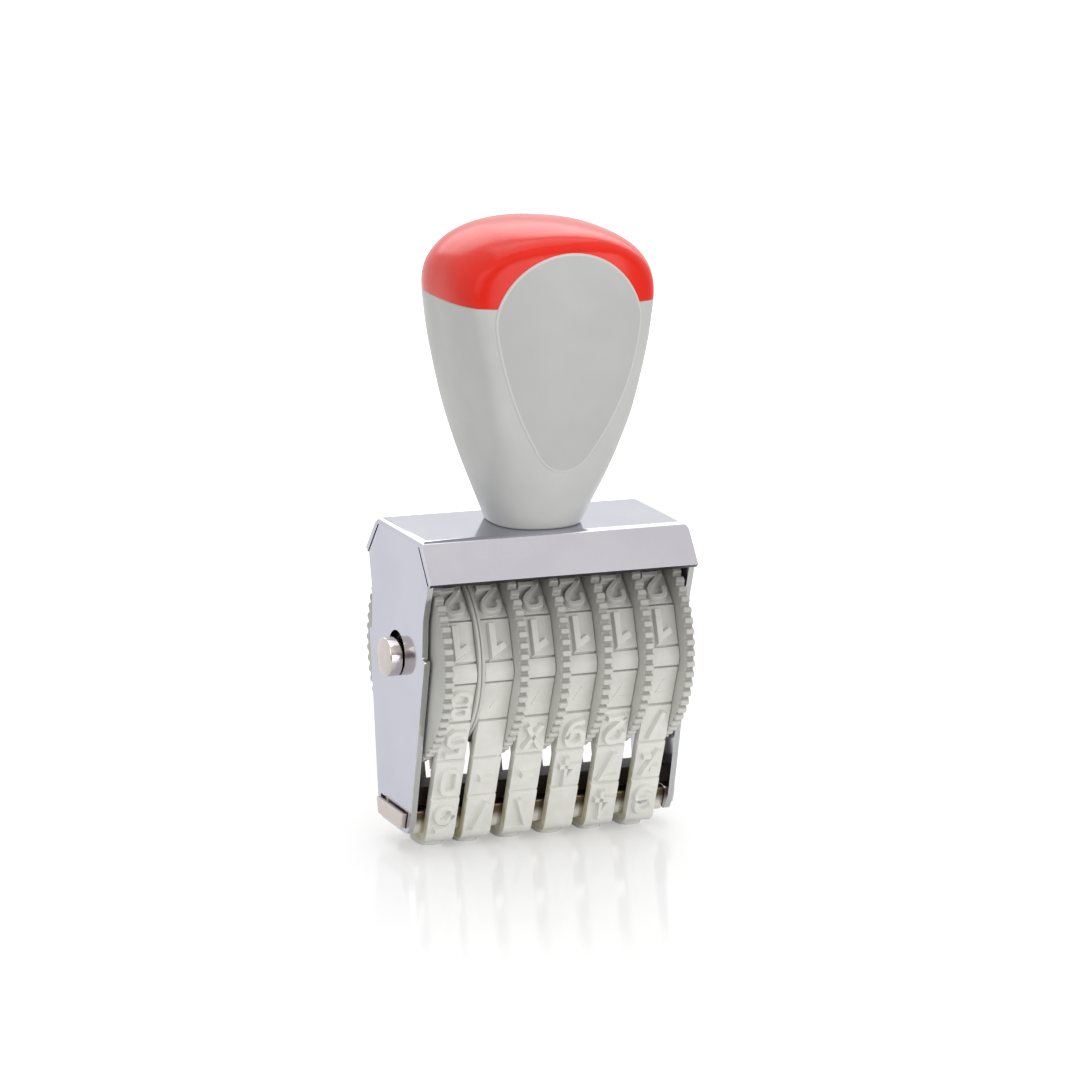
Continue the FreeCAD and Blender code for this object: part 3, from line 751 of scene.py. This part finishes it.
def teeth_tree():
    """Tree that turns one tooth into a closed ring of teeth about the axle."""
    tree = bpy.data.node_groups.new("ring_of_teeth", "GeometryNodeTree")
    sockets = {}
    for label, kind in (("Tooth", "Geometry"), ("Teeth", "Int"), ("First Turn", "Float"),
                        ("Centre", "Vector"), ("Weld", "Float"), ("Finish", "Material")):
        sockets[label] = tree.interface.new_socket(
            label, in_out="INPUT", socket_type="NodeSocket" + kind).identifier
    tree.interface.new_socket("Ring", in_out="OUTPUT", socket_type="NodeSocketGeometry")
    given = tree.nodes.new("NodeGroupInput").outputs
    spots = add(tree, "GeometryNodeMeshLine", {
        "Count": given["Teeth"], "Start Location": given["Centre"], "Offset": (0.0, 0.0, 0.0)})
    number = add(tree, "GeometryNodeInputIndex").outputs[0]
    step = maths(tree, "DIVIDE", 2 * math.pi, given["Teeth"])
    turn = maths(tree, "MULTIPLY_ADD", number, step, given["First Turn"])
    euler = add(tree, "ShaderNodeCombineXYZ", {"X": turn})
    rotation = add(tree, "FunctionNodeEulerToRotation", {0: euler.outputs[0]})
    ring = add(tree, "GeometryNodeInstanceOnPoints", {
        "Points": spots.outputs[0], "Instance": given["Tooth"],
        "Rotation": rotation.outputs[0]}).outputs[0]
    for kind, inputs in (
        ("GeometryNodeRealizeInstances", {}),
        ("GeometryNodeMergeByDistance", {"Distance": given["Weld"]}),
        ("GeometryNodeSetMaterial", {"Material": given["Finish"]}),
    ):
        ring = add(tree, kind, {"Geometry": ring, **inputs}).outputs[0]
    tree.links.new(ring, tree.nodes.new("NodeGroupOutput").inputs["Ring"])
    return tree, sockets


def ring_of_teeth(tooth, tree, sockets, x):
    """Plain mesh of the toothed flange whose left face is at x."""
    carrier = set_down("tooth_carrier", tooth)
    modifier = carrier.modifiers.new("teeth", "NODES")
    modifier.node_group = tree
    values = {"Teeth": TEETH, "First Turn": math.pi / TEETH, "Weld": 2e-6,
              "Centre": (x * MM, 0.0, AXLE_Z * MM), "Finish": FINISHES["wheel_plastic"]}
    for label, value in values.items():
        modifier[sockets[label]] = value
    return taken_off(carrier)


def wheel_body(index):
    """Turned drum, plain disc rim and hub of a wheel, without its toothed flange."""
    low = band_x(index) - WHEEL_WIDTH / 2
    soft = 0.12
    bore = AXLE_R + RUNNING_GAP
    flange = WHEEL_WIDTH - FLANGE_T / 2
    profile = [
        (0, bore), (0, HUB_R), (DISH, HUB_R + DISH), (DISH, DISC_R - 1.9), (0, DISC_R - 1.6),
        (0, DISC_R - soft), (soft, DISC_R), (DISC_T - soft, DISC_R), (DISC_T, DISC_R - soft),
        (DISC_T, DRUM_R + 0.2), (DISC_T + 0.2, DRUM_R), (flange, DRUM_R),
        (flange, FLANGE_BORE_R + 0.4), (WHEEL_WIDTH - DISH, FLANGE_BORE_R + 0.4),
        (WHEEL_WIDTH - DISH, HUB_R + DISH), (WHEEL_WIDTH, HUB_R), (WHEEL_WIDTH, bore),
    ]
    if index == 0:
        profile = [(WHEEL_WIDTH - x, r) for x, r in profile]
    return skin(turned([(low + x, r) for x, r in profile]), loop=True)


def make_wheels():
    """Wheels with their toothed flange on the right, and wheel 1 with its on the left."""
    tooth = one_tooth()
    tree, sockets = teeth_tree()
    for index in range(BANDS):
        number = index + 1
        low = band_x(index) - WHEEL_WIDTH / 2
        x = low if index == 0 else low + WHEEL_WIDTH - FLANGE_T
        ring = opened(ring_of_teeth(tooth, tree, sockets, x))
        mesh = mesh_of(f"wheel_{number}_moulding", *joined([ring, wheel_body(index)]))
        fit_piece(mesh.name, mesh, "wheel_plastic", f"thumb_wheel_{number}",
                  body=f"wheel_{number}")


# Rubber bands

def wheel_vertices():
    """Corners of the band's outer face over the wheel, from front strip to rear strip."""
    strip_arc = 180 - CELLS_OVER_WHEEL * CELL_ARC
    angles = [-strip_arc / 2, strip_arc / 2]
    angles += [strip_arc / 2 + n * CELL_ARC for n in range(1, CELLS_OVER_WHEEL + 1)]
    turns = np.radians(angles + [180 + strip_arc / 2])
    return np.column_stack(
        [-CELL_VERTEX_R * np.cos(turns), AXLE_Z + CELL_VERTEX_R * np.sin(turns)])


def moved_in(points, distance):
    """Corners of a closed polygon that runs clockwise, moved inwards."""
    ahead = np.roll(points, -1, axis=0) - points
    ahead /= np.linalg.norm(ahead, axis=1)[:, None]
    normal = np.column_stack([ahead[:, 1], -ahead[:, 0]])
    corners = []
    for i in range(len(points)):
        mitre = normal[i - 1] + normal[i]
        corners.append(points[i] + mitre * distance / (mitre @ normal[i]))
    return np.array(corners)


def cell_profile(length, is_strip):
    """Heights along a cell or half strip, as (distance, height), from groove to groove."""
    if is_strip:
        inner = [(0.19, 0.2), (0.29, 0.32), (length / 2 - 0.12, 0.55),
                 (length / 2 + 0.12, 0.5), (length - 0.29, 0.04), (length - 0.19, -0.06)]
    else:
        inner = [(0.18, -0.16), (0.28, -0.04), (length / 2, 0.03),
                 (length - 0.28, 0.12), (length - 0.18, 0.0)]
    return [(0, -GROOVE), (0.15, -GROOVE), *inner, (length - 0.15, -GROOVE)]


def band_stations():
    """Outer and inner points round the loop, and the middle and outward way of its cells
    in order from the half strip at the front, over the wheel and down to the bottom."""
    top = wheel_vertices()
    noses = np.array([(NOSE_CORNER_Y, RELIEF), (-NOSE_CORNER_Y, RELIEF)])
    outer = np.vstack([top, noses])
    inner = moved_in(outer, BAND_T)
    stations, cells = [], []

    def cell(i, start, length, is_strip=False):
        a, b = outer[i], outer[(i + 1) % len(outer)]
        ai, bi = inner[i], inner[(i + 1) % len(outer)]
        side = np.linalg.norm(b - a)
        run = (b - a) / side
        cells.append((a + run * (start + length / 2), left_of(run)))
        for distance, height in cell_profile(length, is_strip):
            share = (start + distance) / side
            out, within = a + (b - a) * share, ai + (bi - ai) * share
            stations.append((out + unit(out - within) * height, within))

    def nose(corner, before, after):
        into, away = unit(outer[corner] - outer[before]), unit(outer[after] - outer[corner])
        turn = math.acos(into @ away)
        left, right = left_of(into), left_of(away)
        centre = outer[corner] - (left + right) / (1 + left @ right) * NOSE_R
        for share in np.linspace(0, 1, 8):
            way = math.sin((1 - share) * turn) * left + math.sin(share * turn) * right
            way /= math.sin(turn)
            stations.append((centre + way * NOSE_R, centre + way * (NOSE_R - BAND_T)))

    last = len(top) - 1
    for i in range(last):
        cell(i, 0.0, np.linalg.norm(top[i + 1] - top[i]), i in (0, last - 1))
    size = (np.linalg.norm(noses[0] - top[-1]) - NOSE_REACH) / RUN_CELLS
    for n in range(RUN_CELLS):
        cell(last, n * size, size)
    nose(last + 1, last, last + 2)
    cells.append((np.array([0.0, RELIEF]), np.array([0.0, -1.0])))
    nose(last + 2, last + 1, 0)
    for n in range(RUN_CELLS):
        cell(last + 2, NOSE_REACH + n * size, size)
    return stations, cells


def band_loop():
    """Points and faces of the endless band about x = 0, and its cells."""
    stations, cells = band_stations()
    half, soft = BAND_WIDTH / 2, 0.16
    rings = []
    for out, within in stations:
        way = unit(out - within)
        low, high = out - way * soft, out - way * 0.3 * soft
        rings.append(np.array([(x, *spot) for x, spot in (
            (-half, within), (-half, low), (-half + 0.3 * soft, high), (-half + soft, out),
            (half - soft, out), (half - 0.3 * soft, high), (half, low), (half, within),
        )]))
    return skin(rings, loop=True), cells


def rounded_line(spots):
    """Line with its corners cut twice, its ends kept."""
    spots = [np.array(spot, float) for spot in spots]
    closed = np.allclose(spots[0], spots[-1])
    for _ in range(2):
        cut = []
        for a, b in zip(spots[:-1], spots[1:]):
            cut += [a * 0.75 + b * 0.25, a * 0.25 + b * 0.75]
        spots = cut + [cut[0]] if closed else [spots[0]] + cut[1:-1] + [spots[-1]]
    return spots


def ridge(line, foot, top, height):
    """Points and faces of a raised stroke with sloping sides, mitred at its corners. Its
    foot is sunk a little into the cell."""
    line = [np.array(spot, float) for spot in line]
    closed = np.allclose(line[0], line[-1])
    if closed:
        line = line[:-1]
    sunk = -0.3
    section = [(-foot, sunk), (-top, height - 0.1), (-top + 0.09, height),
               (top - 0.09, height), (top, height - 0.1), (foot, sunk)]
    rings = []
    count = len(line)
    for i, spot in enumerate(line):
        before = spot - line[i - 1] if closed or i > 0 else line[1] - spot
        after = line[(i + 1) % count] - spot if closed or i < count - 1 else before
        before, after = unit(before), unit(after)
        side = unit(left_of(before + after))
        spread = min(1 / max(side @ left_of(before), 0.2), 2.2)
        end = 0.0 if closed or 0 < i < count - 1 else (-foot if i == 0 else foot)
        ring = []
        for across, up in section:
            drawn = end * (1 if abs(across) == foot else top / foot)
            ring.append((*(spot + side * across * spread + before * drawn), up))
        rings.append(np.array(ring))
    return skin(rings, loop=closed)


def character(name, width=3.4, height=5.0, foot=0.6, top=0.42, relief=RELIEF):
    """Raised character of a band in its cell's frame: X across, Y up, Z outwards. It is
    reversed, so that it prints the right way round."""
    wide, high = width - 2 * top, height - 2 * top
    parts = []
    for stroke in CHARACTERS[name]:
        line = rounded_line(stroke) if name in ROUND and len(stroke) > 2 else stroke
        line = [(-(u / 4 - 0.5) * wide, (v / 6 - 0.5) * high) for u, v in line]
        parts.append(ridge(line, foot, top, relief))
    return joined(parts)


def on_cell(part, cell):
    """Part moved from a cell's frame onto the band about x = 0."""
    points, faces = part
    spot, way = cell
    up = left_of(way)
    return [(x, *(spot + up * y + way * z)) for x, y, z in points], faces


def make_bands():
    """Bands with the ten numerals over the wheel, down the rear and at the bottom, and
    their own marks down the front."""
    loop, cells = band_loop()
    over = cells[1:1 + CELLS_OVER_WHEEL]
    rear = cells[2 + CELLS_OVER_WHEEL:2 + CELLS_OVER_WHEEL + RUN_CELLS]
    bottom = cells[2 + CELLS_OVER_WHEEL + RUN_CELLS]
    front = cells[-1:-1 - RUN_CELLS:-1]
    shared = [loop, on_cell(character("0", 4.3, 6.4, 0.75, 0.55), bottom),
              on_cell(character("1", foot=0.8, top=0.55), over[0])]
    shared += [on_cell(character(name), cell)
               for name, cell in zip("23456789", over[1:] + rear[:3])]
    for index, marks in enumerate(FRONT_MARKS):
        parts = list(shared)
        for name, cell in zip(marks, front):
            if name == "fine":
                parts.append(on_cell(character("7", *FINE_SIZES), cell))
            elif name:
                parts.append(on_cell(character(name), cell))
        points, faces = joined(parts)
        number, middle = index + 1, band_middle(index)
        mesh = mesh_of(f"band_{number}_loop", np.array(points) + (middle, 0.0, 0.0), faces)
        edge = BAND_WIDTH / 2 - 0.02
        mark_points(mesh, "side", [abs(x - middle) > edge for x, _, _ in opened(mesh)[0]])
        fit_piece(mesh.name, mesh, "band_rubber", f"rubber_band_{number}")


# Handle

def smooth_max(first, second, softness):
    share = np.clip(0.5 + 0.5 * (first - second) / softness, 0, 1)
    return second + (first - second) * share + softness * share * (1 - share)


def face_depth(x, z):
    """Half depth of the handle's curved front and rear faces."""
    return on_curve(HANDLE_FACES, z)[..., 0] - x * x / (2 * FACE_RADIUS)


def outside_handle(points):
    """How far points lie outside the handle's form, less than 0 inside."""
    x, y, z = np.moveaxis(points, -1, 0)
    half_width, half_depth, squareness = np.moveaxis(on_curve(HANDLE_SIDES, z), -1, 0)
    reach = (np.abs(x) / half_width) ** squareness + (np.abs(y) / half_depth) ** squareness
    sides = (reach ** (1 / squareness) - 1) * np.minimum(half_width, half_depth)
    faces = np.abs(y) - face_depth(x, z)
    # The edge between side and face melts away towards the neck
    softness = FACE_EASE + NECK_EASE * np.clip((NECK_TOP_Z - z) / NECK_HEIGHT, 0, 1)
    stretched = np.stack([x, y, np.maximum(z - CROWN_Z + CROWN[2], 0)], axis=-1) / CROWN
    crown = (np.linalg.norm(stretched, axis=-1) - 1) * CROWN[2]
    return smooth_max(smooth_max(sides, faces, softness), crown, CROWN_EASE)


def leave_handle(start, way):
    """Points where rays from inside the handle come out of it, found by halving."""
    near, far = np.zeros(way.shape[:-1]), np.full(way.shape[:-1], 45.0)
    for _ in range(36):
        middle = (near + far) / 2
        out = outside_handle(start + way * middle[..., None]) > 0
        near, far = np.where(out, near, middle), np.where(out, middle, far)
    return start + way * near[..., None]


def handle_ring(height, drawn_in=0.0, elevation=0.0, count=256):
    """Ring of points on the handle's form, seen from its middle at a height."""
    turn = np.linspace(0, 2 * math.pi, count, endpoint=False)
    level = math.cos(elevation)
    way = np.column_stack([
        np.cos(turn) * level, np.sin(turn) * level, np.full(count, math.sin(elevation))])
    return leave_handle(np.array([0.0, 0.0, height]), way) - way * drawn_in


def make_handle():
    """Grey body with a rounded foot, and the red cap over the parting line."""
    grip = [(TOP_Z, 0.3), (TOP_Z + 0.05, 0.14), (TOP_Z + 0.16, 0.03)]
    grip += [(z, 0.0) for z in np.linspace(TOP_Z + 0.4, PARTING_Z - 0.2, 76)]
    grip += [(PARTING_Z - 0.1, 0.01), (PARTING_Z - 0.03, 0.05), (PARTING_Z, 0.13)]
    crown = [(PARTING_Z, 0.13), (PARTING_Z + 0.02, 0.05), (PARTING_Z + 0.07, 0.01)]
    crown += [(PARTING_Z + 0.2, 0.0, turn) for turn in np.linspace(0, math.pi / 2, 84)]
    for name, rings, slot, node in (
        ("handle_grip", grip, "handle_plastic", "handle_body"),
        ("handle_crown", crown, "cap_plastic", "handle_cap"),
    ):
        mesh = mesh_of(name, *skin([handle_ring(*ring) for ring in rings]), sharp=50)
        fit_piece(name, mesh, slot, node)


def arc_through(start, middle, end, count=40):
    """Points of the arc through three points, its end left out."""
    a, b, c = (complex(*spot) for spot in (start, middle, end))
    w = (c - a) / (b - a)
    centre = a - (a - b) * (w - abs(w) ** 2) / 2j / w.imag
    radius = abs(a - centre)
    begin = np.angle(a - centre)
    sweep = np.angle((c - centre) / (a - centre))
    half = np.angle((b - centre) / (a - centre))
    if sweep * half < 0:
        sweep += 2 * math.pi * np.sign(half)
    turn = begin + sweep * np.arange(count) / count
    return [(centre.real + radius * math.cos(t), centre.imag + radius * math.sin(t))
            for t in turn]


def panel_outline():
    """Shield outline of the panel in x and z, evenly spaced and eased where its arcs meet."""
    (sx, sz), (mx, mz), (cx, cz) = PANEL_SHOULDER, PANEL_SIDE, PANEL_CHIN
    turns = [(-sx, sz), (0, PANEL_TOP_Z), (sx, sz), (mx, mz), (cx, cz),
             (0, PANEL_BOTTOM_Z), (-cx, cz), (-mx, mz), (-sx, sz)]
    spots = [spot for i in (0, 2, 4, 6) for spot in arc_through(*turns[i:i + 3])]
    spots = np.array(spots + spots[:1])
    steps = np.linalg.norm(np.diff(spots, axis=0), axis=1)
    travel = np.concatenate([[0], np.cumsum(steps)])
    even = np.linspace(0, travel[-1], 240, endpoint=False)
    line = np.column_stack([np.interp(even, travel, spots[:, k]) for k in (0, 1)])
    for _ in range(24):
        line = line / 2 + (np.roll(line, 1, axis=0) + np.roll(line, -1, axis=0)) / 4
    return line


def make_panel(name, facing_y, node):
    """Shield panel that stands a little proud of the handle's face, with a soft rim."""
    line = panel_outline()
    ahead = np.roll(line, -1, axis=0) - np.roll(line, 1, axis=0)
    inwards = np.column_stack([ahead[:, 1], -ahead[:, 0]])
    inwards = inwards / np.linalg.norm(ahead, axis=1)[:, None]
    centre = np.array([0.0, PANEL_MIDDLE_Z])

    def ring(spots, raise_by):
        y = facing_y * (face_depth(spots[:, 0], spots[:, 1]) + raise_by)
        return np.column_stack([spots[:, 0], y, spots[:, 1]])

    rings = [ring(centre + (line - centre) * 0.5, -PANEL_DEPTH), ring(line, -PANEL_DEPTH)]
    for inset, raise_by in (
        (0.0, 0.04), (0.04, 0.13), (0.13, 0.2), (0.28, 0.24), (PANEL_RIM, PANEL_RAISE),
    ):
        rings.append(ring(line + inwards * inset, raise_by))
    rim = line + inwards * PANEL_RIM
    rings += [ring(centre + (rim - centre) * share, PANEL_RAISE)
              for share in np.linspace(0.94, 0.04, 20)]
    mesh = mesh_of(name, *skin(rings), sharp=60)
    spots = np.array(opened(mesh)[0])
    raised = np.abs(spots[:, 1]) - face_depth(spots[:, 0], spots[:, 2])
    # Points of the rim, which the panel's material paints lighter as a painted highlight
    mark_points(mesh, "rim", raised < PANEL_RAISE - 0.005)
    fit_piece(name, mesh, "panel_plastic", node)


# Stage

# Lamps by place, size in metres and watts, all of them aimed at the stamp
LAMPS = {
    "overhead_softbox": ((0.05, 0.1, 0.75), (0.7, 0.7), 2.0),
    "back_panel": ((0.4, 0.85, 0.62), (1.6, 0.5), 3.4),
    "front_panel": ((0.3, -0.9, 0.2), (1.3, 0.38), 4.2),
    "left_panel": ((-0.75, -0.35, 0.45), (0.6, 0.6), 1.2),
}
# Frame of the photograph in pixels, and where the camera stood
FRAME_PIXELS = 1074
PIXELS_PER_MM = 6.146
CAMERA_AZIMUTH, CAMERA_ELEVATION, CAMERA_ROLL = 23.519, 13.025, 1.206
CAMERA_DISTANCE = 765.0
AIM_RIGHT, AIM_Z = 0.844, 49.568


def make_floor():
    """Pale floor that keeps the shadow and a faint mirror image, and fades to white."""
    work = bmesh.new()
    bmesh.ops.create_circle(work, cap_ends=True, segments=64, radius=6.0)
    mesh = bpy.data.meshes.new("pale_floor")
    work.to_mesh(mesh)
    work.free()
    material = bpy.data.materials.new("pale_floor")
    material.use_nodes = True
    tree = material.node_tree
    shader = tree.nodes["Principled BSDF"].inputs
    shader["Base Color"].default_value = (0.8, 0.8, 0.8, 1.0)
    shader["Roughness"].default_value = 0.1
    shader["Specular IOR Level"].default_value = 0.12
    rays = add(tree, "ShaderNodeLightPath").outputs
    away = add(tree, "ShaderNodeVectorMath", {0: in_object(tree)}, operation="LENGTH")
    glow = between(tree, away.outputs["Value"], 0.03, 0.25, 0.26, 0.8)
    seen = maths(tree, "MAXIMUM", rays["Is Camera Ray"], rays["Is Transmission Ray"])
    mirrored = product(tree, rays["Is Glossy Ray"], 0.17)
    shader["Emission Color"].default_value = (1.0, 1.0, 1.0, 1.0)
    strength = maths(tree, "ADD", product(tree, seen, glow), mirrored)
    tree.links.new(strength, shader["Emission Strength"])
    mesh.materials.append(material)
    set_down("pale_floor", mesh)


def make_world():
    """White surroundings. Mirrors see them warm at the front, and dim low down there."""
    world = bpy.data.worlds.new("white_studio")
    bpy.context.scene.world = world
    world.use_nodes = True
    tree = world.node_tree
    tree.nodes.clear()
    rays = add(tree, "ShaderNodeLightPath").outputs
    way = split(tree, add(tree, "ShaderNodeTexCoord").outputs["Generated"])
    front = between(tree, way["Y"], 0.1, -0.45)
    dim = product(tree, front, between(tree, way["Z"], 0.7, 0.25))
    warm = tint(tree, front, (1.0, 1.0, 1.0), (1.03, 0.99, 0.93))
    mirrored = tint(tree, dim, warm, (0.3, 0.285, 0.28))
    plain = tint(tree, rays["Is Glossy Ray"], (1.0, 1.0, 1.0), mirrored)
    seen = maths(tree, "MAXIMUM", rays["Is Camera Ray"], rays["Is Glossy Ray"])
    seen = maths(tree, "MAXIMUM", seen, rays["Is Transmission Ray"])
    strength = between(tree, seen, 0.0, 1.0, 0.5, 1.0)
    light = add(tree, "ShaderNodeBackground", {"Color": plain, "Strength": strength})
    output = add(tree, "ShaderNodeOutputWorld")
    tree.links.new(light.outputs[0], output.inputs["Surface"])


def make_lamps():
    for name, (spot, (wide, high), watts) in LAMPS.items():
        lamp = bpy.data.lights.new(name, "AREA")
        lamp.shape = "RECTANGLE"
        lamp.size, lamp.size_y = wide, high
        lamp.energy = watts
        holder = set_down(name, lamp)
        holder.visible_camera = False
        holder.location = spot
        aim = Vector((0, 0, 0.05)) - Vector(spot)
        holder.rotation_euler = aim.to_track_quat("-Z", "Y").to_euler()


def make_camera():
    """Camera at the photograph's viewing angle, from the left and a little above."""
    azimuth, elevation, roll = (
        math.radians(angle) for angle in (CAMERA_AZIMUTH, CAMERA_ELEVATION, CAMERA_ROLL))
    level = np.array([math.cos(azimuth), -math.sin(azimuth), 0.0])
    aim = level * AIM_RIGHT + (0.0, 0.0, AIM_Z)
    look = np.array([math.sin(azimuth) * math.cos(elevation),
                     math.cos(azimuth) * math.cos(elevation), -math.sin(elevation)])
    upright = np.cross(level, look)
    right = level * math.cos(roll) + upright * math.sin(roll)
    up = upright * math.cos(roll) - level * math.sin(roll)
    lens = bpy.data.cameras.new("view_from_left")
    lens.sensor_width = 36.0
    lens.lens = PIXELS_PER_MM * CAMERA_DISTANCE * lens.sensor_width / FRAME_PIXELS
    lens.clip_start, lens.clip_end = 0.01, 50.0
    camera = set_down("view_from_left", lens)
    place = Matrix.Translation(Vector((aim - look * CAMERA_DISTANCE) * MM))
    turn = Matrix(np.column_stack([right, up, -look]).tolist()).to_4x4()
    camera.matrix_world = place @ turn
    bpy.context.scene.camera = camera


fit_piece("frame_folded", softened("frame_shell"), "chromed_sheet", "frame_shell")
fit_piece("platen_bar", softened("platen"), "platen_metal", "platen")
make_axle()
make_wheels()
make_bands()
make_handle()
make_panel("front_shield", -1, "front_panel")
make_panel("rear_shield", 1, "rear_panel")
for node, slot in (
    ("left_side_washer", "washer_metal"), ("right_side_washer", "washer_metal"),
    ("screw_washer", "washer_metal"), ("handle_screw", "washer_metal"),
    ("handle_insert", "insert_brass"),
):
    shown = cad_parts[node].data
    shown.materials.clear()
    shown.materials.append(FINISHES[slot])

make_floor()
make_world()
make_lamps()
make_camera()
bpy.context.scene.view_settings.view_transform = "Standard"
